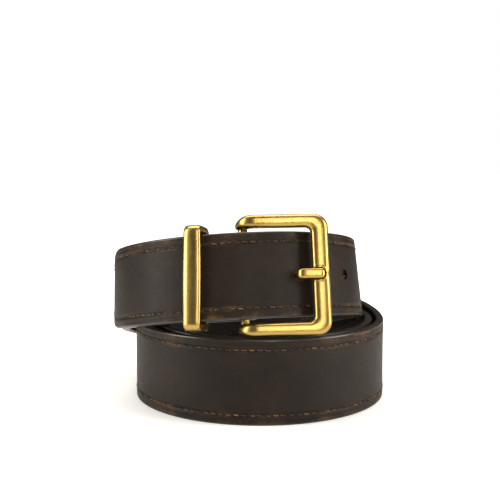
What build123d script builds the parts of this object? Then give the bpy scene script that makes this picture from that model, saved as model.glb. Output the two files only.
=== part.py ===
"""A man's leather dress belt, buckled and coiled on a table, with a brass buckle and a brass keeper.

The strap lies in two level turns on the floor. It then climbs at the back and runs once more round
the top, on a turn that leans back, where its two ends meet in the buckle. Every place on the strap is
given by a coil angle, which is 0 at the front, 90 at the right, 180 at the back and 270 at the left.
It starts at the tip, below 0, and grows along the strap to the buckle bar, three turns later.
Millimetres, +Z up, floor at z = 0, the front of the coil faces -Y.
"""
from build123d import *
from math import acos, asin, cos, degrees, hypot, pi, radians, sin, sqrt
import os

os.makedirs("parts", exist_ok=True)

# strap
strap_width = 35.0
face_thickness = 1.3            # grain leather that shows
core_thickness = 1.1            # bonded leather between the two skins
lining_thickness = 0.9          # split leather on the inside
glue_line = 0.02                # between one layer and the next
strap_thickness = face_thickness + core_thickness + lining_thickness
turn_gap = 0.35                 # air between one turn and the next
turn_pitch = strap_thickness + turn_gap
hole_pitch = 25.4
hole_count = 5
hole_diameter = 4.4
prong_hole_diameter = 5.2       # the hole in use is stretched by the prong
tip_length = 26.0               # the last stretch, which narrows to a round end
tip_overhang = 122.0            # from the prong's hole to the end of the strap

# coil
floor_radius = 56.4             # outer face of the outer turn on the floor
top_radius = 57.0               # outer face of the leaning turn, at its lower edge
floor_trim = 0.02               # pared off the lower edge at the front, so that it stands flat
coil_centre = Vector(5.1, -0.9, -floor_trim)     # of the turns on the floor
top_centre = Vector(-4.15, -1.05, strap_width - 4)      # of the leaning turn, at its lower edge
top_lean = 12.7                 # degrees that the top turn leans back
top_cone = 0.045                # the leaning turn closes in upwards by this share of the height
lean_heading = 14.0             # coil angle at which the leaning turn stands highest

# buckle
bar_angle = 4.4                 # coil angle of the buckle bar, on the top turn
bar_diameter = 3.8
frame_opening = strap_width + 3.6            # inside, across the strap
frame_length = 38.4             # from the heel of the arms to the outside of the front bar
frame_arm = 5.4                 # width of each arm
front_bar_width = 7.0
frame_depth = 5.2
frame_rise = 5.0                # the front bar stands this far out from the buckle bar's centre
frame_outer_radius = 5.5
frame_inner_radius = 2.4
heel_draw = 2.1                 # the arms are this much narrower at the bar
prong_width = 4.0
prong_thickness = 2.6
prong_reach = 22.9              # from the buckle bar's centre to the middle of the prong's riser
notch_depth = 1.3
prong_lap = 4.7                 # the prong's end lies this far over the front bar
prong_slot_width = 6.4          # the slot in the folded end, which the prong swings in
running_clearance = 0.06        # radial, of the prong on the buckle bar
bar_clearance = 0.45            # radial, of the bar in the leather fold
buckle_cant = 1.4               # degrees that the buckle hangs askew in the fold

# keeper
keeper_angle = -17.2
keeper_cant = 2.0               # degrees that the keeper sits askew on the strap
keeper_width = 7.2
keeper_side_clearance = 0.75    # over each edge of the strap
keeper_clearance = 0.45         # over the faces of the strap
keeper_front_wall = 2.5
keeper_back_wall = 1.7
keeper_side_wall = 3.2

# the press stud that closes the folded end, measured along the strap from the buckle bar
stud_places = (33.5,)
fold_back_length = 40.5
cap_diameter = 10.0
cap_thickness = 1.3
socket_diameter = 8.6
stud_diameter = 4.4
post_diameter = 3.2
post_head_diameter = 7.0
post_head_thickness = 0.5
stud_flange_thickness = 0.5
snap_clearance = 0.06

# stitching
stitch_inset = 4.2              # from the strap's edge to the row
thread_width = 0.8
thread_proud = 0.1              # thickness of the thread that stands out
thread_seat = 0.05              # under it, to the leather

# the skived end of the core, before the buckle bar
skive_start = 18.0
skive_end = 8.0
skived_edge = 0.15


# ---- the strap's line ----------------------------------------------------------------------------

def eased(stops, angle, window=24):
    """Straight runs between the stops, rounded off by averaging over the window, in degrees."""
    def straight(a):
        if a <= stops[0][0]:
            return stops[0][1]
        for (a0, v0), (a1, v1) in zip(stops, stops[1:]):
            if a <= a1:
                return v0 + (v1 - v0) * (a - a0) / (a1 - a0)
        return stops[-1][1]
    samples = 9
    return sum(straight(angle + window * (2 * k / (samples - 1) - 1)) for k in range(samples)) / samples


# how far the strap belongs to the leaning turn: its centre first, and then its lean and height
centre_share = ((60, 1), (200, 0), (850, 0), (975, 1))
lean_share = ((130, 1), (310, 0), (822, 0), (978, 1))
# radius of the outer face, given as so many pitches inside the outer turn on the floor
second_radius = top_radius - turn_pitch     # the buckle's end of the strap, under the tip
coil_radius = (
    (60, top_radius),
    (90, top_radius - 0.7 * turn_pitch),
    (180, floor_radius - 2.75 * turn_pitch),
    (225, floor_radius - 2.4 * turn_pitch),
    (270, floor_radius - 1.35 * turn_pitch),
    (330, floor_radius - 1.0 * turn_pitch),
    (370, floor_radius - 1.0 * turn_pitch),
    (450, floor_radius - 1.5 * turn_pitch),
    (500, floor_radius - 1.1 * turn_pitch),
    (560, floor_radius - 0.95 * turn_pitch),
    (630, floor_radius),
    (820, floor_radius),
    (900, floor_radius + 0.3 * turn_pitch),
    (945, floor_radius + 0.1 * turn_pitch),
    (983, second_radius),
)
lean_axis = Vector(-cos(radians(lean_heading)), -sin(radians(lean_heading)), 0)


def coil_point(angle, radius=None):
    """The outer face's lower edge at a coil angle, and the direction across the strap there."""
    shift, lean = eased(centre_share, angle), eased(lean_share, angle)
    arm = eased(coil_radius, angle) if radius is None else radius
    out = Vector(sin(radians(angle)), -cos(radians(angle)), 0) * arm
    centre = Vector(coil_centre.X + (top_centre.X - coil_centre.X) * shift,
                    coil_centre.Y + (top_centre.Y - coil_centre.Y) * shift,
                    coil_centre.Z + (top_centre.Z - coil_centre.Z) * lean)
    turned = Axis((0, 0, 0), lean_axis)
    inward = Vector(-sin(radians(angle)), cos(radians(angle)), 0) * top_cone * lean
    across = (Vector(0, 0, 1) + inward).normalized().rotate(turned, top_lean * lean)
    return centre + out.rotate(turned, top_lean * lean), across


def coil_frame(angle, radius=None):
    """Point, outward direction and cross-strap direction at a coil angle."""
    point, across = coil_point(angle, radius)
    ahead, behind = coil_point(angle + 0.5, radius)[0], coil_point(angle - 0.5, radius)[0]
    outward = (ahead - behind).cross(across).normalized()
    return point, outward, across


def leaning_turn_frame(angle, radius):
    """The same on the leaning turn itself, at any radius, measured square to the second layer."""
    turned = Axis((0, 0, 0), lean_axis)
    flat = Vector(sin(radians(angle)), -cos(radians(angle)), 0)
    outward = (flat + Vector(0, 0, top_cone)).normalized().rotate(turned, top_lean)
    across = (Vector(0, 0, 1) - flat * top_cone).normalized().rotate(turned, top_lean)
    surface = top_centre + flat.rotate(turned, top_lean) * second_radius
    return surface - outward * (second_radius - radius), outward, across


def section_plane(frame):
    """A plane square to the strap: x goes in through its thickness, y goes up across its width."""
    point, outward, across = frame
    return Plane(origin=point, x_dir=-outward, z_dir=(-outward).cross(across))


buckle_end_angle = 3 * 360 + bar_angle
folded_thickness = face_thickness + lining_thickness
bar_radius = bar_diameter / 2
fold_radius = bar_radius + bar_clearance + folded_thickness     # outer face, round the buckle bar
bar_place = second_radius - fold_radius                     # the bar's distance from the turn's centre
bar_centre, bar_outward, bar_across = leaning_turn_frame(bar_angle, bar_place)
bar_along = bar_across.cross(bar_outward).normalized()     # along the strap, to the right
fold_back_radius = bar_place - fold_radius                  # outer face, on the way back

# the hole in use stands over the prong's riser
prong_hole_angle = bar_angle + degrees(asin(prong_reach / (bar_place + frame_rise - 2)))
tip_angle = prong_hole_angle - degrees(tip_overhang / top_radius)

# stations along the strap, each a frame and its distance from the tip and from the buckle bar
coil_step = 9.0
steps_in_tip = 6
tip_sweep = degrees(tip_length / top_radius)
angles = [tip_angle + tip_sweep * (1 - cos(k / steps_in_tip * pi / 2)) for k in range(1, steps_in_tip)]
whole_steps = int((buckle_end_angle - tip_angle - tip_sweep) / coil_step)
last_stretch = buckle_end_angle - tip_angle - tip_sweep
angles += [tip_angle + tip_sweep + last_stretch * k / whole_steps for k in range(whole_steps + 1)]
# closer together over the skive
skive_steps = 9
skive_sweep = angles[-1] - angles[-4]
angles[-3:] = [angles[-4] + skive_sweep * k / skive_steps for k in range(1, skive_steps + 1)]
stations = []                   # (frame, distance from the tip, distance from the buckle bar)
distance = 0.0
previous = coil_frame(tip_angle + 0.1)[0]
for angle in angles:
    frame = coil_frame(angle)
    distance += (frame[0] - previous).length
    previous = frame[0]
    stations.append((frame, distance, radians(buckle_end_angle - angle) * second_radius))
coil_length = distance

# the fold round the buckle bar, and the end that runs back inside the strap
fold_round = [stations[-1][0]]
for turn in range(15, 180, 15):
    outward = bar_outward * cos(radians(turn)) + bar_along * sin(radians(turn))
    fold_round.append((bar_centre + outward * fold_radius, outward, bar_across))
fold_back = []
back_steps = 6
fold_back_sweep = degrees(fold_back_length / fold_back_radius)
for step in range(back_steps + 1):
    point, outward, across = leaning_turn_frame(bar_angle - fold_back_sweep * step / back_steps,
                                                fold_back_radius)
    fold_back.append((point, -outward, across))
fold_runs = (fold_round + fold_back[:1], fold_back)


def width_at(from_tip):
    """The strap's width, which narrows to a round end over the tip."""
    if from_tip >= tip_length:
        return strap_width
    return strap_width * sqrt(1 - (1 - from_tip / tip_length) ** 2)


def core_at(from_bar):
    """The core's thickness, which is skived away before the buckle bar."""
    if from_bar >= skive_start:
        return core_thickness
    share = max(0, from_bar - skive_end) / (skive_start - skive_end)
    return skived_edge + (core_thickness - skived_edge) * share ** 2 * (3 - 2 * share)


def slice_of(frame, depth, thickness, width):
    """A flat slice of strap, this deep under the outer face, on the plane across the strap."""
    with BuildSketch(section_plane(frame)) as section:
        with Locations((depth + thickness / 2, strap_width / 2)):
            Rectangle(thickness, width)
    return section.sketch.face()


# ---- the strap's three layers --------------------------------------------------------------------

# the buckle's own frame: x along the strap to the right, y across the strap, z outward
buckle_along = bar_along.rotate(Axis((0, 0, 0), bar_outward), -buckle_cant)
buckle_plane = Plane(origin=bar_centre + bar_across * (strap_width / 2), x_dir=buckle_along, z_dir=bar_outward)
# a side view of the same, seen along the bar: x along the strap, y outward
side_plane = Plane(origin=buckle_plane.origin, x_dir=buckle_plane.x_dir, z_dir=-buckle_plane.y_dir)
hole_depth = strap_thickness + 2 * turn_gap / 3
hole_planes = []
for hole in range(1, hole_count):
    frame = coil_frame(prong_hole_angle + degrees(hole * hole_pitch / top_radius))
    hole_planes.append(Plane(origin=frame[0] + frame[2] * (strap_width / 2), x_dir=frame[2], z_dir=frame[1]))


# a flat disc stands off the curved leather at its middle
stud_sag = socket_diameter ** 2 / 8 / (second_radius - strap_thickness) + 0.01
cap_sag = cap_diameter ** 2 / 8 / fold_back_radius + 0.02


def snap_plane(place):
    """On the strap's lining at a press stud, facing in."""
    point, outward, across = leaning_turn_frame(bar_angle - degrees(place / second_radius),
                                                second_radius - strap_thickness - stud_sag)
    return Plane(origin=point + across * (strap_width / 2), x_dir=across, z_dir=-outward)


snap_planes = [snap_plane(place) for place in stud_places]
snap_room = second_radius - strap_thickness - stud_sag - fold_back_radius - folded_thickness


# ---- the strap's three layers --------------------------------------------------------------------

with BuildPart() as strap_face:
    loft([slice_of(frame, 0, face_thickness, width_at(from_tip)) for frame, from_tip, from_bar in stations])
    for run in fold_runs:
        loft([slice_of(frame, 0, face_thickness, strap_width) for frame in run])

with BuildPart() as strap_core:
    loft([slice_of(frame, face_thickness + glue_line, core_at(from_bar) - 2 * glue_line, width_at(from_tip))
          for frame, from_tip, from_bar in stations if from_bar >= skive_end])

with BuildPart() as strap_lining:
    loft([slice_of(frame, face_thickness + max(glue_line, core_at(from_bar) * min(1, from_bar / skive_end)),
                   lining_thickness, width_at(from_tip)) for frame, from_tip, from_bar in stations])
    for run in fold_runs:
        loft([slice_of(frame, face_thickness + glue_line, lining_thickness, strap_width) for frame in run])

# the lower edge of the outer turn stands flat on the floor, round the front of the coil
with strap_face:
    with BuildSketch(Plane.XY):
        with Locations((coil_centre.X, coil_centre.Y)):
            Circle(floor_radius + 2)
            Circle(floor_radius - face_thickness - turn_gap / 2, mode=Mode.SUBTRACT)
        with Locations((coil_centre.X, coil_centre.Y - floor_radius)):
            Rectangle(floor_radius, floor_radius, mode=Mode.INTERSECT)
    extrude(amount=-1, mode=Mode.SUBTRACT)

# round holes, square to the strap, in all three layers of the tip
for layer in (strap_face, strap_core, strap_lining):
    with layer:
        for plane in hole_planes:
            with BuildSketch(plane.offset(1)):
                Circle(hole_diameter / 2)
            extrude(amount=-hole_depth - 1, mode=Mode.SUBTRACT)
        # the hole in use runs straight out, as the prong pulls it
        prong_hole_plane = buckle_plane.offset(-2.5)
        with BuildSketch(prong_hole_plane):
            with Locations((prong_reach - 0.3, 0)):
                Circle(prong_hole_diameter / 2)
        extrude(amount=9, mode=Mode.SUBTRACT)

# the slot in the fold, which ends short of the tip's own layer
slot_reach = 11.0
slot_radius = second_radius + turn_gap / 2
top_side_plane = Plane(origin=leaning_turn_frame(bar_angle, 0)[0] + bar_across * (strap_width / 2),
                       x_dir=bar_along, z_dir=-bar_across)
for layer in (strap_face, strap_lining):
    with layer:
        with BuildSketch(top_side_plane):
            Circle(slot_radius)
            with Locations((-slot_reach / 2 + fold_radius / 2, bar_place)):
                Rectangle(slot_reach + fold_radius + 1, 2 * fold_radius + 4, mode=Mode.INTERSECT)
        extrude(amount=prong_slot_width / 2, both=True, mode=Mode.SUBTRACT)

# seats for the press studs: the post's stem and head in the strap, the cap's stem in the folded end
with strap_core:
    for plane in snap_planes:
        with BuildSketch(plane.offset(0.2)):
            Circle(post_diameter / 2 + snap_clearance)
        extrude(amount=-lining_thickness - core_thickness - 0.2, mode=Mode.SUBTRACT)
        with BuildSketch(plane.offset(post_head_thickness - lining_thickness - core_thickness)):
            Circle(post_head_diameter / 2 + snap_clearance)
        extrude(amount=-post_head_thickness - 2 * stud_sag, mode=Mode.SUBTRACT)
with strap_lining:
    for plane in snap_planes:
        with BuildSketch(plane.offset(0.3)):
            Circle(post_diameter / 2 + snap_clearance)
        extrude(amount=-lining_thickness - 0.3 - 2 * stud_sag, mode=Mode.SUBTRACT)
for layer in (strap_face, strap_lining):
    with layer:
        for plane in snap_planes:
            with BuildSketch(plane.offset(snap_room - 0.3)):
                Circle(post_diameter / 2 + snap_clearance)
            extrude(amount=folded_thickness + 0.8, mode=Mode.SUBTRACT)

# ---- stitching: two rows on the face and two on the lining, whole length -------------------------

row_heights = (stitch_inset, strap_width - stitch_inset)
stitched = [(frame, from_tip, from_bar) for frame, from_tip, from_bar in stations
            if from_tip > tip_length - coil_step / 2]


def thread_slice(frame, depth, height):
    """A slice of one row of thread."""
    with BuildSketch(section_plane(frame)) as section:
        with Locations((depth, height)):
            Rectangle(thread_proud, thread_width)
    return section.sketch.face()


with BuildPart() as face_stitching:
    for height in row_heights:
        loft([thread_slice(frame, -thread_seat - thread_proud / 2, height) for frame, from_tip, from_bar in stitched])

with BuildPart() as lining_stitching:
    for height in row_heights:
        loft([thread_slice(frame, strap_thickness + thread_seat + thread_proud / 2, height)
              for frame, from_tip, from_bar in stitched if from_bar >= skive_start])

# ---- buckle --------------------------------------------------------------------------------------

frame_half_height = frame_opening / 2 + frame_arm
bar_seat = 2.2                                  # the bar's end is this deep in each arm
heel = 3.9                                      # radius of the arms' rounded ends, round the bar
front_outside = frame_length - heel
front_inside = front_outside - front_bar_width
with BuildPart() as buckle_frame:
    # side view: a band that stands out from the strap and turns in to the bar
    with BuildSketch(side_plane):
        with BuildLine():
            back = frame_rise - frame_depth / 2
            front = frame_rise + frame_depth / 2
            heel_side = 5.5
            outer = Line((front_outside, front), (heel_side, front))
            corner = TangentArc(outer @ 1, (-heel, 0), tangent=outer % 1)
            heel_arc = RadiusArc(corner @ 1, (heel - 1, -heel + 1), heel * 1.02)
            inner = Line(heel_arc @ 1, (heel + 4.5, back))
            under = Line(inner @ 1, (front_outside, back))
            Line(under @ 1, outer @ 0)
        make_face()
    extrude(amount=frame_half_height, both=True)
    # front view: three sides of a rounded frame
    with BuildSketch(buckle_plane.offset(-2 * heel)):
        with Locations(((front_outside - heel) / 2, 0)):
            RectangleRounded(frame_length, 2 * frame_half_height, frame_outer_radius)
    extrude(amount=4 * heel + frame_rise, mode=Mode.INTERSECT)
    with BuildSketch(buckle_plane.offset(-2 * heel)):
        with Locations((front_inside - frame_length, 0)):
            RectangleRounded(2 * frame_length, frame_opening, frame_inner_radius)
    extrude(amount=4 * heel + frame_rise, mode=Mode.SUBTRACT)
    # end view: the arms' outer sides draw in towards the heel
    with BuildSketch(Plane(origin=buckle_plane.origin, x_dir=buckle_plane.y_dir, z_dir=buckle_plane.x_dir)):
        with BuildLine():
            top = frame_half_height
            Polyline((-top, 2 * heel + frame_rise), (-top, frame_rise - 0.8), (heel_draw - top, -0.6),
                     (heel_draw - top, -2 * heel), (top - heel_draw, -2 * heel), (top - heel_draw, -0.6),
                     (top, frame_rise - 0.8), (top, 2 * heel + frame_rise), close=True)
        make_face()
    extrude(amount=2 * frame_length, both=True, mode=Mode.INTERSECT)
    # bores for the bar, blind, so that their outer ends don't show
    with BuildSketch(Plane(origin=buckle_plane.origin, x_dir=buckle_plane.x_dir, z_dir=buckle_plane.y_dir)):
        Circle(bar_radius)
    extrude(amount=frame_opening / 2 + bar_seat, both=True, mode=Mode.SUBTRACT)
    # notch that the prong's end lies in
    with BuildSketch(buckle_plane.offset(frame_rise + frame_depth / 2 - notch_depth)):
        with Locations((front_inside, 0)):
            SlotOverall(2 * (prong_lap + 0.4), prong_width + 0.5)
    extrude(amount=2 * notch_depth, mode=Mode.SUBTRACT)

with BuildPart() as buckle_bar:
    with BuildSketch(Plane(origin=buckle_plane.origin, x_dir=buckle_plane.x_dir, z_dir=buckle_plane.y_dir)):
        Circle(bar_radius)
    extrude(amount=frame_opening / 2 + bar_seat, both=True)

prong_top = frame_rise + frame_depth / 2 - notch_depth + prong_thickness
prong_eye = bar_radius + running_clearance + 1.9
with BuildPart() as prong:
    with BuildSketch(side_plane):
        with BuildLine():
            # from the eye, along under the strap, out through the hole and over to the notch
            shank_top = -prong_eye + prong_thickness
            low = Line((0, -prong_eye), (prong_reach, -prong_eye))
            riser_outer = Line((prong_reach + prong_thickness / 2, -prong_eye + 1.5),
                               (prong_reach + prong_thickness / 2 - 1.0, prong_top - prong_thickness))
            Line(low @ 1, riser_outer @ 0)
            tip_low = Line(riser_outer @ 1, (front_inside + prong_lap + 1, prong_top - prong_thickness))
            nose = Line(tip_low @ 1, (front_inside + prong_lap - 1.2, prong_top))
            tip_high = Line(nose @ 1, (prong_reach - prong_thickness / 2 + 0.4, prong_top))
            chamfer_line = Line(tip_high @ 1, (prong_reach - prong_thickness / 2 - 1.2, prong_top - 1.6))
            riser_inner = Line(chamfer_line @ 1, (prong_reach - prong_thickness / 2, shank_top))
            shank_high = Line(riser_inner @ 1, (0, shank_top))
            Line(shank_high @ 1, low @ 0)
        make_face()
        Circle(prong_eye)
        Circle(bar_radius + running_clearance, mode=Mode.SUBTRACT)
    extrude(amount=prong_width / 2, both=True)
    with BuildSketch(buckle_plane.offset(-2 * heel)):
        with Locations((front_inside + prong_lap - frame_length, 0)):
            RectangleRounded(2 * frame_length, prong_width + 0.02, prong_width / 2 - 0.1)
    extrude(amount=4 * heel + frame_rise, mode=Mode.INTERSECT)

# ---- keeper --------------------------------------------------------------------------------------

keeper_inside = second_radius - strap_thickness - keeper_clearance
keeper_outside = top_radius + keeper_clearance
keeper_low, keeper_outward, keeper_across = leaning_turn_frame(keeper_angle, 0)
keeper_along = keeper_outward.cross(keeper_across).rotate(Axis((0, 0, 0), keeper_outward), -keeper_cant)
keeper_plane = Plane(origin=keeper_low + keeper_across * (strap_width / 2), x_dir=keeper_outward,
                     z_dir=keeper_along)
keeper_gap = strap_width + 2 * keeper_side_clearance
with BuildPart() as keeper:
    with BuildSketch(keeper_plane):
        depth = keeper_outside - keeper_inside + keeper_back_wall + keeper_front_wall
        with Locations((keeper_inside - keeper_back_wall + depth / 2, 0)):
            RectangleRounded(depth, keeper_gap + 2 * keeper_side_wall, 2.2)
        with Locations(((keeper_inside + keeper_outside) / 2, 0)):
            RectangleRounded(keeper_outside - keeper_inside, keeper_gap, 0.5, mode=Mode.SUBTRACT)
    extrude(amount=keeper_width / 2, both=True)

# ---- press studs ---------------------------------------------------------------------------------

with BuildPart() as snap_posts:
    for plane in snap_planes:
        with BuildSketch(plane.offset(post_head_thickness - lining_thickness - core_thickness)):
            Circle(post_head_diameter / 2)
        extrude(amount=-post_head_thickness)
        with BuildSketch(plane.offset(-lining_thickness - core_thickness + post_head_thickness)):
            Circle(post_diameter / 2)
        extrude(amount=lining_thickness + core_thickness - post_head_thickness + stud_flange_thickness)

with BuildPart() as snap_studs:
    for plane in snap_planes:
        with BuildSketch(plane):
            Circle(socket_diameter / 2)
            Circle(post_diameter / 2, mode=Mode.SUBTRACT)
        extrude(amount=stud_flange_thickness)
        with BuildSketch(plane.offset(stud_flange_thickness)):
            Circle(stud_diameter / 2)
        extrude(amount=snap_room - stud_flange_thickness - 0.35)

with BuildPart() as snap_sockets:
    for plane in snap_planes:
        with BuildSketch(plane.offset(stud_flange_thickness + 0.1)):
            Circle(socket_diameter / 2)
            Circle(stud_diameter / 2 + snap_clearance, mode=Mode.SUBTRACT)
        extrude(amount=snap_room - stud_flange_thickness - 0.1 - 0.3)
        with BuildSketch(plane.offset(snap_room - 0.3)):
            Circle(socket_diameter / 2)
            Circle(post_diameter / 2, mode=Mode.SUBTRACT)
        extrude(amount=0.25)

with BuildPart() as snap_caps:
    for plane in snap_planes:
        with BuildSketch(plane.offset(snap_room + folded_thickness + cap_sag)):
            Circle(cap_diameter / 2)
        extrude(amount=cap_thickness, taper=12)
        with BuildSketch(plane.offset(snap_room + folded_thickness + cap_sag)):
            Circle(post_diameter / 2)
        extrude(amount=-folded_thickness - cap_sag - 0.25)

# ---- names and files -----------------------------------------------------------------------------

pieces = {
    "strap_face": strap_face,
    "strap_core": strap_core,
    "strap_lining": strap_lining,
    "face_stitching": face_stitching,
    "lining_stitching": lining_stitching,
    "buckle_frame": buckle_frame,
    "buckle_bar": buckle_bar,
    "prong": prong,
    "keeper": keeper,
    "snap_caps": snap_caps,
    "snap_sockets": snap_sockets,
    "snap_studs": snap_studs,
    "snap_posts": snap_posts,
}
for name, piece in pieces.items():
    piece.part.label = name
    export_step(piece.part, f"parts/{name}.step")
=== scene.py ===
import bpy
import bmesh
from math import asin, cos, degrees, pi, radians, sin, sqrt
from mathutils import Matrix, Vector


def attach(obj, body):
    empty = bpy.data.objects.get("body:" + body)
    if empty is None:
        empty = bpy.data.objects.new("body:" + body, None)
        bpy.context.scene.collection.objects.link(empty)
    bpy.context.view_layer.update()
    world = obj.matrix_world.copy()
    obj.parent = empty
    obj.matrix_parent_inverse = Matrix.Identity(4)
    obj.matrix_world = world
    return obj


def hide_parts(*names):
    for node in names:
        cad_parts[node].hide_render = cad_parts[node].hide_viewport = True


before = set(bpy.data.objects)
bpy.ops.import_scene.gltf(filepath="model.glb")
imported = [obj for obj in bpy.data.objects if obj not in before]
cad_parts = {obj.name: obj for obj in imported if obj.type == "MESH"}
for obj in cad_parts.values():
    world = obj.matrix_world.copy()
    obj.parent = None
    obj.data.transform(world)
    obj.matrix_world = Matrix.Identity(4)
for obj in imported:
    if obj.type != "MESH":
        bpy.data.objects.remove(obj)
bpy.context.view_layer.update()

mm = 0.001

# ---- The strap's line --------------------------------------------------------------------------
# A belt strap of three glued layers, wound in two level turns and one turn that leans back over
# them. A place on it is a coil angle, 0 at the front and growing to the right, from the tip's
# round end through three turns to the buckle bar, and a height across the strap's width.
strap_width = 35.0 * mm
face_thickness, core_thickness, lining_thickness = 1.3 * mm, 1.1 * mm, 0.9 * mm
strap_thickness = face_thickness + core_thickness + lining_thickness
turn_gap = 0.35 * mm
pitch = strap_thickness + turn_gap
floor_radius, top_radius = 56.4 * mm, 57.0 * mm
second_radius = top_radius - pitch
coil_centre = Vector((5.1, -0.9, -0.02)) * mm
top_centre = Vector((-4.15, -1.05, 31.0)) * mm
top_lean, lean_heading = radians(12.7), radians(14.0)
top_cone = 0.045                # the leaning turn closes in upwards by this share of the height
lean_axis = Vector((-cos(lean_heading), -sin(lean_heading), 0))
centre_share = ((60, 1), (200, 0), (850, 0), (975, 1))
lean_share = ((130, 1), (310, 0), (822, 0), (978, 1))
coil_radius = (
    (60, top_radius), (90, top_radius - 0.7 * pitch), (180, floor_radius - 2.75 * pitch),
    (225, floor_radius - 2.4 * pitch), (270, floor_radius - 1.35 * pitch),
    (330, floor_radius - pitch), (370, floor_radius - pitch), (450, floor_radius - 1.5 * pitch),
    (500, floor_radius - 1.1 * pitch), (560, floor_radius - 0.95 * pitch), (630, floor_radius),
    (820, floor_radius), (900, floor_radius + 0.3 * pitch), (945, floor_radius + 0.1 * pitch),
    (983, second_radius))
bar_angle = 4.4
buckle_cant, keeper_cant = radians(1.4), radians(2.0)
bar_radius, bar_clearance = 1.9 * mm, 0.45 * mm
fold_radius = bar_radius + bar_clearance + face_thickness + lining_thickness
bar_place = second_radius - fold_radius
fold_back_radius = bar_place - fold_radius
fold_back_length = 40.5 * mm
prong_reach = 22.9 * mm
prong_hole_angle = bar_angle + degrees(asin(prong_reach / (bar_place + 3.0 * mm)))
tip_overhang = 122 * mm            # from the prong's hole to the end of the strap
tip_angle = prong_hole_angle - degrees(tip_overhang / top_radius)
buckle_end = 3 * 360 + bar_angle
tip_length = 26 * mm
skive_start, skive_end, skived_edge = 18 * mm, 8 * mm, 0.15 * mm


def smooth_step(share):
    return share ** 2 * (3 - 2 * share)


def eased(stops, angle, window=24, samples=9):
    """Straight runs between the stops, rounded off by averaging over the window, in degrees."""
    def straight(a):
        if a <= stops[0][0]:
            return stops[0][1]
        for (a0, v0), (a1, v1) in zip(stops, stops[1:]):
            if a <= a1:
                return v0 + (v1 - v0) * (a - a0) / (a1 - a0)
        return stops[-1][1]
    return sum(straight(angle + window * (2 * k / (samples - 1) - 1)) for k in range(samples)) / samples


def coil_point(angle):
    """The outer face's lower edge at a coil angle, and the direction across the strap."""
    shift, lean = eased(centre_share, angle), eased(lean_share, angle)
    turn = Matrix.Rotation(top_lean * lean, 3, lean_axis)
    flat = Vector((sin(radians(angle)), -cos(radians(angle)), 0))
    centre = coil_centre.lerp(top_centre, shift)
    centre.z = coil_centre.z + (top_centre.z - coil_centre.z) * lean
    across = (Vector((0, 0, 1)) - flat * top_cone * lean).normalized()
    return centre + turn @ flat * eased(coil_radius, angle), turn @ across


def coil_frame(angle):
    """Point, outward direction and cross-strap direction at a coil angle."""
    point, across = coil_point(angle)
    ahead, behind = coil_point(angle + 0.5)[0], coil_point(angle - 0.5)[0]
    return point, (ahead - behind).cross(across).normalized(), across


def top_turn_frame(angle, radius):
    """The same on the leaning turn itself, at any radius, measured square to the second layer."""
    turn = Matrix.Rotation(top_lean, 3, lean_axis)
    flat = Vector((sin(radians(angle)), -cos(radians(angle)), 0))
    outward = turn @ (flat + Vector((0, 0, top_cone))).normalized()
    across = turn @ (Vector((0, 0, 1)) - flat * top_cone).normalized()
    surface = top_centre + turn @ flat * second_radius
    return surface - outward * (second_radius - radius), outward, across


bar_centre, bar_out, bar_across = top_turn_frame(bar_angle, bar_place)
bar_along = bar_across.cross(bar_out).normalized()
buckle_centre = bar_centre + bar_across * (strap_width / 2)
buckle_along = Matrix.Rotation(-buckle_cant, 3, bar_out) @ bar_along
buckle_across = bar_out.cross(buckle_along)

# stations: frame, length from the tip, length to the buckle bar
station_step = 1.5
stations = []
length, previous = 0.0, None
tip_sweep = degrees(tip_length / top_radius)
tip_steps = 22
angles = [tip_angle + 0.02]
angles += [tip_angle + tip_sweep * (1 - cos(k / tip_steps * pi / 2)) for k in range(1, tip_steps)]
last_stretch = buckle_end - tip_angle - tip_sweep
count = int(last_stretch / station_step)
angles += [tip_angle + tip_sweep + last_stretch * k / count for k in range(count + 1)]
for angle in angles:
    place = coil_frame(angle)
    if previous is not None:
        length += (place[0] - previous).length
    previous = place[0]
    stations.append((place, length, radians(buckle_end - angle) * second_radius))
fold = []
for turn in range(10, 180, 10):
    out = bar_out * cos(radians(turn)) + bar_along * sin(radians(turn))
    length += radians(10) * fold_radius
    fold.append(((bar_centre + out * fold_radius, out, bar_across), length, -1.0))
back_sweep = degrees(fold_back_length / fold_back_radius)
back_steps = 40
for step in range(back_steps + 1):
    point, out, across = top_turn_frame(bar_angle - back_sweep * step / back_steps, fold_back_radius)
    fold.append(((point, -out, across), length + fold_back_length * step / back_steps, -1.0))


def width_at(from_tip):
    """The strap's width, which narrows to a round end over the tip."""
    if from_tip >= tip_length:
        return strap_width
    return max(0.4 * mm, strap_width * sqrt(1 - (1 - from_tip / tip_length) ** 2))


def core_at(from_bar):
    """The core's thickness, skived away before the buckle bar."""
    if from_bar >= skive_start:
        return core_thickness
    share = max(0.0, from_bar - skive_end) / (skive_start - skive_end)
    return skived_edge + (core_thickness - skived_edge) * smooth_step(share)


def core_depth(from_bar):
    """How far the core holds the lining off the face, which is nothing in the fold."""
    return core_at(from_bar) * min(1.0, from_bar / skive_end) if from_bar >= 0 else 0.0


def finished(name, mesh, material_used=None, sharp=None):
    """Turns a bmesh into a linked object, with its normals outward."""
    bmesh.ops.recalc_face_normals(mesh, faces=mesh.faces)
    data = bpy.data.meshes.new(name)
    mesh.to_mesh(data)
    mesh.free()
    if sharp:
        data.set_sharp_from_angle(angle=radians(sharp))
    if material_used:
        data.materials.append(material_used)
    piece = bpy.data.objects.new(name, data)
    bpy.context.scene.collection.objects.link(piece)
    return piece


strap_crease = 38                       # degrees: sharper edges of the strap stay sharp


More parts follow.
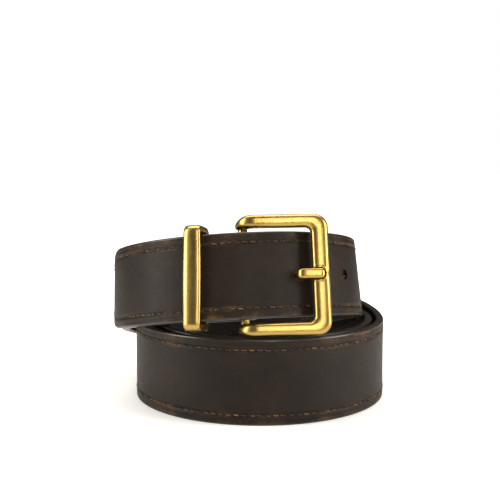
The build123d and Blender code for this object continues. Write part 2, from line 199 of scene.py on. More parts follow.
def sweep(name, places, outline, material_used):
    """A solid strip through the places. outline(place) gives (depth, height) pairs round the section."""
    mesh = bmesh.new()
    uv = mesh.loops.layers.uv.new("strap")
    rings = []
    for item in places:
        (point, out, across), along = item[:2]
        rings.append([(mesh.verts.new(point - out * depth + across * height), along, height)
                      for depth, height in outline(item)])

    def face(corners):
        made = mesh.faces.new([corner[0] for corner in corners])
        made.smooth = True
        for loop, corner in zip(made.loops, corners):
            loop[uv].uv = (corner[1], corner[2])

    for ring, after in zip(rings, rings[1:]):
        for k in range(len(ring)):
            j = (k + 1) % len(ring)
            face((ring[k], ring[j], after[j], after[k]))
    face(list(reversed(rings[0])))
    face(rings[-1])
    return finished(name, mesh, material_used, strap_crease)


def cut(piece, cutter):
    """Takes the cutter's shape out of the piece."""
    boolean = piece.modifiers.new("cut", "BOOLEAN")
    boolean.object, boolean.operation, boolean.solver = cutter, "DIFFERENCE", "EXACT"
    data = bpy.data.meshes.new_from_object(piece.evaluated_get(bpy.context.evaluated_depsgraph_get()))
    piece.modifiers.clear()
    old, piece.data = piece.data, data
    bpy.data.meshes.remove(old)
    data.set_sharp_from_angle(angle=radians(strap_crease))


def wire(node, inputs):
    """Gives a node's inputs their values, or links them to other nodes' outputs."""
    for key, value in inputs.items():
        if isinstance(value, bpy.types.NodeSocket):
            node.id_data.links.new(value, node.inputs[key])
        else:
            node.inputs[key].default_value = value


def node_adder(tree):
    """A function that adds a shader node to the tree, and wires its inputs."""
    def add(kind, inputs=None, **settings):
        node = tree.nodes.new("ShaderNode" + kind)
        for key, value in settings.items():
            setattr(node, key, value)
        wire(node, inputs or {})
        return node
    return add


def material(name):
    """A new node material: its Principled BSDF, and a function that adds a node."""
    made = bpy.data.materials.new(name)
    made.use_nodes = True
    return made, made.node_tree.nodes["Principled BSDF"], node_adder(made.node_tree)


# ---- Leather: grain, rub and edge paint --------------------------------------------------------
# Full-grain cowhide, dyed nearly black-brown and waxed. The dye is rubbed through to tan along the edges
# and the stitch rows, and the cut edges are burnished and painted. Shade in the sunk stitch rows is painted
# in as near black.
def group(name, inputs, outputs):
    """An empty shader node group: its input and output nodes, and a function that adds a node."""
    tree = bpy.data.node_groups.new(name, "ShaderNodeTree")
    for label, kind, value in inputs:
        socket = tree.interface.new_socket(label, in_out="INPUT", socket_type=kind)
        if value is not None:
            socket.default_value = value
    for label, kind in outputs:
        tree.interface.new_socket(label, in_out="OUTPUT", socket_type=kind)
    start, end = tree.nodes.new("NodeGroupInput"), tree.nodes.new("NodeGroupOutput")
    return tree, start, end, node_adder(tree)


# pebbled grain: small cells with creases between them, over a slower swell
grain, start, end, add = group("leather grain", (
    ("Place", "NodeSocketVector", None), ("Cell", "NodeSocketFloat", 1500.0)),
    (("Height", "NodeSocketFloat"), ("Tone", "NodeSocketFloat")))
warp = add("TexNoise", {"Vector": start.outputs["Place"], "Scale": 900.0, "Detail": 2.0})
shifted = add("VectorMath", {0: warp.outputs["Color"], 1: (0.0006, 0.0006, 0.0006)},
              operation="MULTIPLY")
place = add("VectorMath", {0: start.outputs["Place"], 1: shifted.outputs[0]}, operation="ADD")
cells = add("TexVoronoi", {"Vector": place.outputs[0], "Scale": start.outputs["Cell"]},
            feature="DISTANCE_TO_EDGE")
crease = add("MapRange", {"Value": cells.outputs["Distance"], "From Min": 0.0, "From Max": 0.22},
             interpolation_type="SMOOTHSTEP")
swell = add("TexNoise", {"Vector": start.outputs["Place"], "Scale": 260.0, "Detail": 5.0,
                         "Roughness": 0.6})
pores = add("TexNoise", {"Vector": start.outputs["Place"], "Scale": 4200.0, "Detail": 2.0})
low = add("Math", {0: crease.outputs[0], 1: 0.45, 2: swell.outputs["Fac"]},
          operation="MULTIPLY_ADD")
total = add("Math", {0: pores.outputs["Fac"], 1: 0.25, 2: low.outputs[0]},
            operation="MULTIPLY_ADD")
broad = add("TexNoise", {"Vector": start.outputs["Place"], "Scale": 38.0, "Detail": 6.0,
                         "Roughness": 0.62})
wire(end, {"Height": total.outputs[0], "Tone": broad.outputs["Fac"]})

# rubbed dye: strongest at the strap's edges and beside the stitch rows, in patches; and painted shade: near
# black painted into the sunk stitch rows
rub_and_groove_shade, start, end, add = group("rubbed dye and painted groove shade", (
    ("Height", "NodeSocketFloat", 0.0), ("Place", "NodeSocketVector", None),
    ("Width", "NodeSocketFloat", 0.035), ("Reach", "NodeSocketFloat", 0.0036),
    ("Row", "NodeSocketFloat", 0.0042)),
    (("Rub", "NodeSocketFloat"), ("Seam", "NodeSocketFloat")))
other = add("Math", {0: start.outputs["Width"], 1: start.outputs["Height"]}, operation="SUBTRACT")
edge = add("Math", {0: other.outputs[0], 1: start.outputs["Height"]}, operation="MINIMUM")
near = add("MapRange", {"Value": edge.outputs[0], "From Min": start.outputs["Reach"],
                        "From Max": 0.0, "To Min": 0.0, "To Max": 1.0},
           interpolation_type="SMOOTHSTEP")
offset = add("Math", {0: edge.outputs[0], 1: start.outputs["Row"]}, operation="SUBTRACT")
apart = add("Math", {0: offset.outputs[0]}, operation="ABSOLUTE")
beside = add("MapRange", {"Value": apart.outputs[0], "From Min": 0.0016, "From Max": 0.0},
             interpolation_type="SMOOTHSTEP")
# painted shade mask: a narrow band along the middle of each sunk stitch row
painted_groove_shade = add("MapRange", {"Value": apart.outputs[0], "From Min": 0.0008, "From Max": 0.0003},
           interpolation_type="SMOOTHSTEP")
patch = add("TexNoise", {"Vector": start.outputs["Place"], "Scale": 75.0, "Detail": 7.0,
                         "Roughness": 0.72})
patches = add("MapRange", {"Value": patch.outputs["Fac"], "From Min": 0.47, "From Max": 0.72},
              interpolation_type="SMOOTHSTEP")
both = add("Math", {0: near.outputs[0], 1: beside.outputs[0]}, operation="MAXIMUM")
masked = add("Math", {0: both.outputs[0], 1: patches.outputs[0]}, operation="MULTIPLY")
wire(end, {"Rub": masked.outputs[0], "Seam": painted_groove_shade.outputs[0]})


def leather(name, dark, mid, pale_tone, rough, cell, depth, rub_share):
    """A dyed leather, by its three colours, its roughness, the size and depth of its grain."""
    made, shader, add = material(name)
    flat = add("UVMap", uv_map="strap")
    parts = add("SeparateXYZ", {0: flat.outputs[0]})
    object_place = add("TexCoord").outputs["Object"]
    pebble = add("Group", node_tree=grain)
    wire(pebble, {"Place": flat.outputs[0], "Cell": cell})
    wear_and_groove_shade = add("Group", node_tree=rub_and_groove_shade)
    wire(wear_and_groove_shade, {"Height": parts.outputs["Y"], "Place": object_place})
    tone = add("MapRange", {"Value": pebble.outputs["Tone"], "From Min": 0.35, "From Max": 0.7})
    body = add("Mix", {0: tone.outputs[0], 6: (*dark, 1), 7: (*mid, 1)}, data_type="RGBA")
    amount = add("Math", {0: wear_and_groove_shade.outputs["Rub"], 1: rub_share}, operation="MULTIPLY")
    rubbed = add("Mix", {0: amount.outputs[0], 6: body.outputs[2], 7: (*pale_tone, 1)},
                 data_type="RGBA")
    # painted shade: the sunk stitch grooves are darkened towards near black
    shade = add("Math", {0: wear_and_groove_shade.outputs["Seam"], 1: 0.65}, operation="MULTIPLY")
    groove_shaded = add("Mix", {0: shade.outputs[0], 6: rubbed.outputs[2],
                         7: (0.006, 0.004, 0.003, 1)}, data_type="RGBA")
    gloss = add("MapRange", {"Value": pebble.outputs["Height"], "From Min": 0.3, "From Max": 1.2,
                             "To Min": rough + 0.08, "To Max": rough - 0.08})
    bump = add("Bump", {"Height": pebble.outputs["Height"], "Strength": 1.0, "Distance": depth})
    wire(shader, {"Base Color": groove_shaded.outputs[2], "Roughness": gloss.outputs[0],
                  "Normal": bump.outputs[0]})
    return made, shader


face_leather, shader = leather(
    "dark brown grain leather", (0.0062, 0.0032, 0.0017), (0.0190, 0.0098, 0.0046),
    (0.150, 0.078, 0.022), 0.50, 1300.0, 0.00011, 1.0)
wire(shader, {"Specular IOR Level": 0.22, "Coat Weight": 0.04, "Coat Roughness": 0.32})
lining_leather, shader = leather("brown split lining", (0.010, 0.0065, 0.005), (0.022, 0.0135, 0.009),
                                 (0.06, 0.038, 0.022), 0.62, 1100.0, 0.00005, 0.35)
wire(shader, {"Specular IOR Level": 0.35})

# burnished edge: smooth dark paint with faint drag marks along the strap
edge_paint, shader, add = material("painted edge")
flat = add("UVMap", uv_map="strap")
drag = add("Mapping", {"Vector": flat.outputs[0], "Scale": (60.0, 2500.0, 1.0)})
streaks = add("TexNoise", {"Vector": drag.outputs[0], "Scale": 1.0, "Detail": 4.0})
tint = add("Mix", {0: streaks.outputs["Fac"], 6: (0.010, 0.008, 0.007, 1),
                   7: (0.034, 0.024, 0.018, 1)}, data_type="RGBA")
gloss = add("MapRange", {"Value": streaks.outputs["Fac"], "To Min": 0.26, "To Max": 0.46})
lift = add("Bump", {"Height": streaks.outputs["Fac"], "Strength": 0.5, "Distance": 0.00008})
wire(shader, {"Base Color": tint.outputs[2], "Roughness": gloss.outputs[0], "Normal": lift.outputs[0],
              "Coat Weight": 0.3, "Coat Roughness": 0.2})


# ---- Strap: face, core and lining --------------------------------------------------------------
# The grain leather face, the bonded core and the split lining are glued, cut to width, stitched
# 4.2 mm in from each edge and rounded over at the edges. The end is folded round the buckle bar.
row_inset = 4.2 * mm
round_over, round_steps = 0.75 * mm, 6
crease_inset = 1.7 * mm                 # a line pressed in beside each edge


def skin_outline(place, depth, thickness, outward):
    """A skin's section, rounded at both edges, with creases and sunk stitch rows on its show side."""
    width = width_at(place[1]) if place[2] >= 0 else strap_width
    low, high = (strap_width - width) / 2, (strap_width + width) / 2
    row, line = min(row_inset, 0.34 * width), min(crease_inset, 0.14 * width)
    rounding = min(round_over, 0.3 * width)
    half = [(thickness, 0.0), (rounding, 0.0)]
    quarter = [k / round_steps * pi / 2 for k in range(1, round_steps + 1)]
    half += [(rounding * (1 - sin(a)), rounding * (1 - cos(a))) for a in quarter]
    half += [(-0.02 * mm, line - 0.35 * mm), (0.09 * mm, line), (-0.03 * mm, line + 0.4 * mm),
             (-0.07 * mm, (line + row) / 2 + 0.2 * mm), (-0.02 * mm, row - 0.75 * mm),
             (0.16 * mm, row - 0.4 * mm), (0.24 * mm, row), (0.16 * mm, row + 0.4 * mm),
             (-0.02 * mm, row + 0.8 * mm), (0.0, row + 1.6 * mm)]
    half = [(d, min(h, width / 2 - 0.002 * mm)) for d, h in half]
    last = half[-1][1]
    middle = [(0.0, last + (width - 2 * last) * k / 8) for k in range(1, 8)]
    section = half + middle + [(d, width - h) for d, h in reversed(half)]
    if not outward:
        section = [(thickness - d, h) for d, h in section]
    return [(depth + d, low + h) for d, h in section]


def face_outline(place):
    return skin_outline(place, 0.0, face_thickness, True)


def lining_outline(place):
    return skin_outline(place, face_thickness + core_depth(place[2]), lining_thickness, False)


def core_outline(place):
    thickness = core_at(place[2])
    width = width_at(place[1]) - 0.06 * mm
    low, high = (strap_width - width) / 2, (strap_width + width) / 2
    rows = [(0.0, low), (thickness / 2, low - 0.05 * mm), (thickness, low), (thickness, high),
            (thickness / 2, high + 0.05 * mm), (0.0, high)]
    return [(face_thickness + d, h) for d, h in rows]


strap_face = sweep("strap_face_leather", stations + fold, face_outline, face_leather)
strap_lining = sweep("strap_lining_leather", stations + fold, lining_outline, lining_leather)
strap_core = sweep("strap_core_leather", [s for s in stations if s[2] >= skive_end], core_outline,
                   edge_paint)


def paint_edges(piece, ring):
    """The rounded edges take the edge paint, on a piece with rings of so many points."""
    piece.data.materials.append(edge_paint)
    edge_points = round_steps + 1
    for polygon in piece.data.polygons:
        spots = [index % ring for index in polygon.vertices]
        hidden = max(spots) - min(spots) > ring / 2
        if not hidden and (max(spots) <= edge_points or min(spots) >= ring - 1 - edge_points):
            polygon.material_index = 1


paint_edges(strap_face, len(face_outline(stations[0])))
paint_edges(strap_lining, len(lining_outline(stations[0])))


# the holes: five round ones in the tip's end of the strap, of which the prong stretches the first
def prism(name, plane_point, x_axis, z_axis, outline, low, high):
    """A closed prism on an outline in the plane through a point, from low to high along its normal."""
    y_axis = z_axis.cross(x_axis)
    mesh = bmesh.new()
    ends = [[mesh.verts.new(plane_point + x_axis * x + y_axis * y + z_axis * z) for x, y in outline]
            for z in (low, high)]
    mesh.faces.new(list(reversed(ends[0])))
    mesh.faces.new(ends[1])
    for k in range(len(outline)):
        j = (k + 1) % len(outline)
        mesh.faces.new((ends[0][k], ends[0][j], ends[1][j], ends[1][k]))
    return finished(name, mesh)


def circle(radius, x=0.0, points=40):
    return [(x + radius * cos(2 * pi * k / points), radius * sin(2 * pi * k / points))
            for k in range(points)]


hole_radius, prong_hole_radius, hole_pitch = 2.2 * mm, 2.6 * mm, 25.4 * mm
cutters = [prism("prong_hole", buckle_centre, buckle_along, bar_out,
                 circle(prong_hole_radius, x=prong_reach - 0.3 * mm), -2.5 * mm, 6.5 * mm)]
for hole in range(1, 5):
    point, out, across = coil_frame(prong_hole_angle + degrees(hole * hole_pitch / top_radius))
    cutters.append(prism("strap_hole", point + across * (strap_width / 2), across, out,
                         circle(hole_radius), -strap_thickness - 0.23 * mm, 1 * mm))
slot_half, slot_start, slot_end = 3.2 * mm, -11.0 * mm, fold_radius + 0.5 * mm
slot_steps = 12
slot_top = [(slot_start + (slot_end - slot_start) * k / slot_steps) for k in range(slot_steps + 1)]
slot_radius = second_radius + turn_gap / 2
slot_outline = [(x, sqrt(slot_radius ** 2 - x ** 2) - bar_place) for x in slot_top]
slot_outline += [(slot_end, -fold_radius - 1 * mm), (slot_start, -fold_radius - 2.6 * mm)]
slot = prism("prong_slot", buckle_centre, bar_along, -bar_across, slot_outline, -slot_half, slot_half)
for piece in (strap_face, strap_lining, strap_core):
    for cutter in cutters + ([slot] if piece is not strap_core else []):
        cut(piece, cutter)
for cutter in cutters + [slot]:
    bpy.data.objects.remove(cutter)

for piece, node, finish in ((strap_face, "strap_face", "leather_face"),
                            (strap_lining, "strap_lining", "leather_lining"),
                            (strap_core, "strap_core", "leather_core")):
    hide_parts(node)
    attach(piece, "strap")


# ---- Stitching ---------------------------------------------------------------------------------
# Waxed bonded thread, lockstitched through the three layers at 3.2 mm. Each stitch dips into its
# needle holes at both ends and lies a little askew in the pressed row. Its glints are painted in as golden
# patches.
thread, shader, add = material("dark brown thread with painted glints")
flat = add("TexCoord").outputs["Object"]
# painted highlight: golden patches scattered over the dark brown thread stand in for glints of light on the
# waxed thread
glint_noise = add("TexNoise", {"Vector": flat, "Scale": 330.0, "Detail": 3.0})
pale_tone = add("MapRange", {"Value": glint_noise.outputs["Fac"], "From Min": 0.46, "From Max": 0.66})
tint = add("Mix", {0: pale_tone.outputs[0], 6: (0.020, 0.011, 0.005, 1),
                   7: (0.21, 0.105, 0.026, 1)}, data_type="RGBA")
twist = add("UVMap", uv_map="strap")
strands = add("TexWave", {"Vector": twist.outputs[0], "Scale": 2.2, "Distortion": 0.4},
              bands_direction="DIAGONAL")
rise = add("Bump", {"Height": strands.outputs["Fac"], "Strength": 0.8, "Distance": 0.00008})
soften = add("MapRange", {"Value": strands.outputs["Fac"], "To Min": 0.62, "To Max": 0.45})
wire(shader, {"Base Color": tint.outputs[2], "Roughness": soften.outputs[0], "Normal": rise.outputs[0]})

stitch_pitch, stitch_length, thread_radius = 3.2 * mm, 2.65 * mm, 0.33 * mm
whole_strap = stations + fold


def place_at(along, places):
    """The strap's frame at a length from the tip, between two stations."""
    low, high = 0, len(places) - 1
    while high - low > 1:
        middle = (low + high) // 2
        if places[middle][1] <= along:
            low = middle
        else:
            high = middle
    (p0, o0, a0), s0, b0 = places[low]
    (p1, o1, a1), s1, b1 = places[high]
    share = (along - s0) / max(s1 - s0, 1e-9)
    middle = (p0.lerp(p1, share), o0.lerp(o1, share).normalized(), a0.lerp(a1, share).normalized())
    return middle, b0 + (b1 - b0) * share


def stitch_rows(name, places, start, stop, side, skip):
    """Both rows of stitches on one side of the strap, from one length to another, as one piece."""
    mesh = bmesh.new()
    uv = mesh.loops.layers.uv.new("strap")
    ring_points, rings_in_stitch = 8, 9
    for row in (0, 1):
        along = start
        while along < stop:
            number = int(round(along / stitch_pitch))
            along += stitch_pitch
            if any(low < along < high for low, high in skip):
                continue
            rings = []
            for k in range(rings_in_stitch):
                share = k / (rings_in_stitch - 1)
                (point, out, across), from_bar = place_at(along + stitch_length * (share - 0.5), places)
                width = width_at(along) if from_bar >= 0 else strap_width
                inset = min(row_inset, 0.34 * width)
                height = (strap_width - width) / 2 + (inset if row == 0 else width - inset)
                askew = 0.11 * mm * (1 - 2 * share) + 0.05 * mm * sin(number * 2.4)
                dip = 0.62 * mm * (2 * share - 1) ** 4
                lift = 0.02 * mm - dip
                swell = thread_radius * (0.72 + 0.28 * sin(pi * share))
                if side > 0:
                    middle = point + out * lift
                else:
                    depth = face_thickness + core_depth(from_bar) + lining_thickness + lift
                    middle = point - out * depth
                middle = middle + across * (height + askew)
                spots = [2 * pi * j / ring_points for j in range(ring_points)]
                rings.append([(mesh.verts.new(middle + out * (swell * 0.8 * cos(a))
                                              + across * (swell * sin(a))), share, a / (2 * pi))
                              for a in spots])
            for ring, after in zip(rings, rings[1:]):
                for j in range(ring_points):
                    i = (j + 1) % ring_points
                    corners = (ring[j], ring[i], after[i], after[j])
                    made = mesh.faces.new([corner[0] for corner in corners])
                    made.smooth = True
                    for loop, corner in zip(made.loops, corners):
                        loop[uv].uv = (corner[1] * 3, corner[2])
            mesh.faces.new([corner[0] for corner in reversed(rings[0])])
            mesh.faces.new([corner[0] for corner in rings[-1]])
    return finished(name, mesh, thread)


bar_length = stations[-1][1]
fold_end = whole_strap[-1][1]
first_stitch = 7 * mm
face_stitches = stitch_rows("face_stitches", whole_strap, first_stitch, fold_end - 4 * mm, 1,
                            ((bar_length - 4 * mm, bar_length + 14 * mm),))
lining_stitches = stitch_rows("lining_stitches", whole_strap, first_stitch, bar_length - 20 * mm, -1, ())
for piece, node in ((face_stitches, "face_stitching"), (lining_stitches, "lining_stitching")):
    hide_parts(node)
    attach(piece, "strap")


# ---- Brass -------------------------------------------------------------------------------------
# Cast and tumbled brass, antiqued: a satin yellow-gold metal with fine brushing, and an olive-brown
# film that stays where it isn't rubbed.
film, start, end, add = group("antique film", (
    ("Place", "NodeSocketVector", None), ("Patch", "NodeSocketFloat", 90.0)),
    (("Film", "NodeSocketFloat"), ("Brushing", "NodeSocketFloat")))
slow = add("TexNoise", {"Vector": start.outputs["Place"], "Scale": start.outputs["Patch"],
                        "Detail": 6.0, "Roughness": 0.6})
cover = add("MapRange", {"Value": slow.outputs["Fac"], "From Min": 0.42, "From Max": 0.75},
            interpolation_type="SMOOTHSTEP")
grained = add("Mapping", {"Vector": start.outputs["Place"], "Scale": (220.0, 220.0, 6000.0)})
lines = add("TexNoise", {"Vector": grained.outputs[0], "Scale": 1.0, "Detail": 4.0})
crossed = add("Mapping", {"Vector": start.outputs["Place"], "Scale": (6000.0, 400.0, 220.0)})
cross_lines = add("TexNoise", {"Vector": crossed.outputs[0], "Scale": 1.0, "Detail": 4.0})
brushing = add("Math", {0: lines.outputs["Fac"], 1: cross_lines.outputs["Fac"]}, operation="ADD")
halved = add("Math", {0: brushing.outputs[0], 1: 0.5}, operation="MULTIPLY")
wire(end, {"Film": cover.outputs[0], "Brushing": halved.outputs[0]})


def brass(name, bright, dull, rough, patch):
    """An antiqued brass, by its rubbed and filmed colours, its roughness and the size of its patches."""
    made, shader, add = material(name)
    object_place = add("TexCoord").outputs["Object"]
    aged = add("Group", node_tree=film)
    wire(aged, {"Place": object_place, "Patch": patch})
    share = add("Math", {0: aged.outputs["Film"], 1: 0.6}, operation="MULTIPLY")
    tint = add("Mix", {0: share.outputs[0], 6: (*bright, 1), 7: (*dull, 1)}, data_type="RGBA")
    gloss = add("MapRange", {"Value": aged.outputs["Brushing"], "From Min": 0.35, "From Max": 0.65,
                             "To Min": rough - 0.05, "To Max": rough + 0.07})
    rise = add("Bump", {"Height": aged.outputs["Brushing"], "Strength": 0.35, "Distance": 0.00002})
    wire(shader, {"Base Color": tint.outputs[2], "Roughness": gloss.outputs[0],
                  "Normal": rise.outputs[0], "Metallic": 1.0})
    return made


buckle_brass = brass("antique brass", (0.54, 0.375, 0.110), (0.27, 0.185, 0.055), 0.31, 55.0)
keeper_brass = brass("keeper brass", (0.58, 0.41, 0.130), (0.31, 0.215, 0.065), 0.30, 50.0)
snap_brass = brass("snap brass", (0.52, 0.38, 0.15), (0.28, 0.20, 0.08), 0.35, 160.0)


# ---- Buckle frame ------------------------------------------------------------------------------
# A cast C-shaped frame. Its two arms turn in behind the strap to hold the bar, its sections are
# softly squared, and its front bar has a rimmed notch that the prong's end lies in.
opening_half, arm, front_bar = 19.3 * mm, 5.4 * mm, 7.0 * mm
depth_of_frame, rise_of_frame = 5.2 * mm, 5.0 * mm
half_depth_of_frame = depth_of_frame / 2
heel = 3.9 * mm
frame_length = 38.4 * mm
front_outside = frame_length - heel
heel_draw = 2.1 * mm             # the arms are this much narrower at the bar
front_inside = front_outside - front_bar
outer_corner, inner_corner = 5.6 * mm, 2.5 * mm
notch_depth, prong_lap = 1.3 * mm, 4.7 * mm
notch_floor = rise_of_frame + half_depth_of_frame - notch_depth


def in_buckle(x, y, z):
    """A point in the buckle's own directions: along the strap, across it, and out."""
    return buckle_centre + buckle_along * x + buckle_across * y + bar_out * z


metal_crease = 50                       # degrees: sharper edges of the metal stay sharp


def tube(name, rings, material_used, open_loop=True):
    """A closed smooth shell through rings of points, with flat ends, or closed up if it's a loop."""
    mesh = bmesh.new()
    made_rings = [[mesh.verts.new(point) for point in ring] for ring in rings]
    pairs = list(zip(made_rings, made_rings[1:]))
    if not open_loop:
        pairs.append((made_rings[-1], made_rings[0]))
    for ring, after in pairs:
        for k in range(len(ring)):
            j = (k + 1) % len(ring)
            mesh.faces.new((ring[k], ring[j], after[j], after[k])).smooth = True
    if open_loop:
        mesh.faces.new(list(reversed(made_rings[0])))
        mesh.faces.new(made_rings[-1])
    return finished(name, mesh, material_used, metal_crease)


def soft_square(angle, power):
    """A point of a superellipse of half-size 1: power 2 is round, and higher is squarer."""
    c, s = cos(angle), sin(angle)
    return (abs(c) ** (2 / power) * (1 if c > 0 else -1), abs(s) ** (2 / power) * (1 if s > 0 else -1))


ring_points = 64
half_rings = []                         # upper half of the frame, from the heel's end to the middle


def frame_ring(inner, outer, centre_out, out_x, out_z, half_depth, power=2.7, shrink=1.0):
    """One section: between a point on the inner and one on the outer outline, and so deep."""
    middle = ((inner[0] + outer[0]) / 2, (inner[1] + outer[1]) / 2)
    reach = ((outer[0] - inner[0]) / 2 * shrink, (outer[1] - inner[1]) / 2 * shrink)
    ring = []
    for k in range(ring_points):
        across, deep = soft_square(2 * pi * k / ring_points, power)
        deep *= half_depth * shrink
        ring.append((middle[0] + reach[0] * across + out_x * deep, middle[1] + reach[1] * across,
                     centre_out + out_z * deep))
    return ring


# arms: along the strap's edge, turning in to the bar over a quarter turn
bend_start, bend_radius = 4.6 * mm, 5.0 * mm
arm_low, arm_high = opening_half, opening_half + arm
bend = []
bend_sweep = radians(78)
for k in range(11):
    turn = bend_sweep * k / 10
    bend.append((bend_start - bend_radius * sin(turn), rise_of_frame - bend_radius * (1 - cos(turn)),
                 -sin(turn), cos(turn)))
tail = 0.9 * mm
tip_x = bend[-1][0] - tail * cos(bend_sweep)
tip_z = bend[-1][1] - tail * sin(bend_sweep)
cap_steps = 6
cap = []
for k in range(1, cap_steps + 1):
    turn = k / cap_steps * pi / 2 * 0.97
    reach = 2.0 * mm * sin(turn)
    cap.append((tip_x - reach * cos(bend_sweep), tip_z - reach * sin(bend_sweep), cos(turn)))


def arm_top(z):
    """The arm's outer side, which draws in from the front face down to the bar."""
    share = min(1.0, max(0.0, (rise_of_frame - z) / (5.6 * mm)))
    return arm_high - heel_draw * smooth_step(share)


for x, z, shrink in reversed(cap):
    half_rings.append(frame_ring((x, arm_low), (x, arm_top(z)), z, -sin(bend_sweep), cos(bend_sweep),
                                 half_depth_of_frame, shrink=max(shrink, 0.05)))
for x, z, out_x, out_z in reversed(bend):
    half_rings.append(frame_ring((x, arm_low), (x, arm_top(z)), z, out_x, out_z, half_depth_of_frame))
arm_end = front_outside - outer_corner
for k in range(1, 14):
    x = bend_start + (arm_end - bend_start) * k / 13
    half_rings.append(frame_ring((min(x, front_inside - inner_corner), arm_low), (x, arm_high),
                                 rise_of_frame, 0, 1, half_depth_of_frame))
inner_centre = (front_inside - inner_corner, arm_low - inner_corner)
outer_centre = (front_outside - outer_corner, arm_high - outer_corner)
corner_steps = 14
for k in range(1, corner_steps + 1):
    turn = pi / 2 * (1 - k / corner_steps)
    half_rings.append(frame_ring(
        (inner_centre[0] + inner_corner * cos(turn), inner_centre[1] + inner_corner * sin(turn)),
        (outer_centre[0] + outer_corner * cos(turn), outer_centre[1] + outer_corner * sin(turn)),
        rise_of_frame, 0, 1, half_depth_of_frame))
bar_top = inner_centre[1]
bar_steps = 52
for k in range(1, bar_steps + 1):
    y = bar_top * (1 - k / bar_steps)
    half_rings.append(frame_ring((front_inside, y), (front_outside, y), rise_of_frame, 0, 1,
                                 half_depth_of_frame))
lower_rings = [[(x, -y, z) for x, y, z in ring] for ring in reversed(half_rings[:-1])]


def notched(x, y, z):
    """Sinks the front bar's face into a round-ended notch with a low rim."""
    if z < rise_of_frame or abs(y) > 5 * mm or x < front_inside - 3 * mm:
        return x, y, z
    half_width = 2.25 * mm
    centre_x = front_inside + prong_lap + 0.35 * mm - half_width
    away = abs(y) if x < centre_x else sqrt((x - centre_x) ** 2 + y ** 2)
    edge = away - half_width
    inside = smooth_step(min(1.0, max(0.0, (0.25 * mm - edge) / (0.5 * mm))))
    rim = max(0.0, 1 - abs(edge - 0.55 * mm) / (0.6 * mm))
    sunk = min(z, notch_floor)
    return x, y, z + (sunk - z) * inside + 0.22 * mm * smooth_step(rim)


frame_rings = [[in_buckle(*notched(*point)) for point in ring] for ring in half_rings + lower_rings]
buckle_frame = tube("buckle_frame_casting", frame_rings, buckle_brass)
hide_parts("buckle_frame")
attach(buckle_frame, "buckle")


# ---- Buckle bar --------------------------------------------------------------------------------
# A drawn brass pin, seated in blind holes in the two arms. The strap's fold and the prong's eye
# are round it.
def turned(name, centre, axis, side, profile, material_used, points=48):
    """A turned piece: (radius, height) pairs spun about an axis through a centre."""
    other = axis.cross(side)
    rings = [[centre + axis * height + (side * cos(a) + other * sin(a)) * radius
              for a in (2 * pi * k / points for k in range(points))] for radius, height in profile]
    return tube(name, rings, material_used)


bar_half = opening_half + 2.1 * mm
bar_end_chamfer, bar_spans = 0.4 * mm, 12
bar_straight = 2 * (bar_half - bar_end_chamfer)
bar_profile = [(1.5 * mm, -bar_half)]
bar_profile += [(bar_radius, -bar_half + bar_end_chamfer + bar_straight * k / bar_spans)
                for k in range(bar_spans + 1)]
bar_profile += [(1.5 * mm, bar_half)]
buckle_bar = turned("buckle_bar_pin", buckle_centre, buckle_across, buckle_along, bar_profile,
                    buckle_brass)
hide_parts("buckle_bar")
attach(buckle_bar, "buckle")


# ---- Prong -------------------------------------------------------------------------------------
# A cast brass tongue. Its eye turns on the bar, its shank lies inside the tip of the strap, and it
# comes out through the hole and over to the notch in the front bar.
prong_width, prong_thickness = 4.0 * mm, 2.6 * mm
eye_radius = bar_radius + 0.06 * mm + 1.9 * mm
prong_top = notch_floor + prong_thickness
shank_middle = -eye_radius + prong_thickness / 2
tip_middle = prong_top - prong_thickness / 2
route = [(0.0, shank_middle), (8 * mm, shank_middle), (16 * mm, shank_middle),
         (19.9 * mm, shank_middle + 0.1 * mm), (21.8 * mm, shank_middle + 1.3 * mm),
         (22.3 * mm, shank_middle + 3.2 * mm), (22.3 * mm, shank_middle + 5.0 * mm),
         (22.3 * mm, tip_middle - 2.0 * mm), (23.0 * mm, tip_middle - 0.5 * mm),
         (24.6 * mm, tip_middle - 0.05 * mm), (28.0 * mm, tip_middle),
         (front_inside + prong_lap - 1.6 * mm, tip_middle)]


def smooth_route(points, per_span=8):
    """A Catmull-Rom line through the points, with its direction at each place."""
    padded = [points[0]] + list(points) + [points[-1]]
    line = []
    for a, b, c, d in zip(padded, padded[1:], padded[2:], padded[3:]):
        for k in range(per_span):
            t = k / per_span
            line.append(tuple(0.5 * (2 * q + (r - p) * t + (2 * p - 5 * q + 4 * r - s) * t * t
                                     + (3 * q - p - 3 * r + s) * t ** 3) for p, q, r, s in zip(a, b, c, d)))
    return line + [points[-1]]


prong_line = smooth_route(route)
prong_rings = []
for k, (x, z) in enumerate(prong_line):
    before, after = prong_line[max(k - 1, 0)], prong_line[min(k + 1, len(prong_line) - 1)]
    way = Vector((after[0] - before[0], 0, after[1] - before[1])).normalized()
    out = Vector((-way.z, 0, way.x))
    prong_rings.append((Vector((x, 0, z)), out, 1.0))
end_point, way = prong_rings[-1][0], Vector((1, 0, 0))
for k in range(1, 8):
    turn = k / 7 * pi / 2 * 0.98
    prong_rings.append((end_point + way * (1.6 * mm * sin(turn)), Vector((0, 0, 1)), cos(turn)))


def prong_section(middle, out, share):
    ring = []
    for k in range(32):
        across, deep = soft_square(2 * pi * k / 32, 3.2)
        thick = max(share, 0.35) if share > 0.2 else share
        spot = middle + Vector((0, across * prong_width / 2 * share, 0))
        spot = spot + out * (deep * prong_thickness / 2 * thick)
        ring.append(in_buckle(*spot))
    return ring


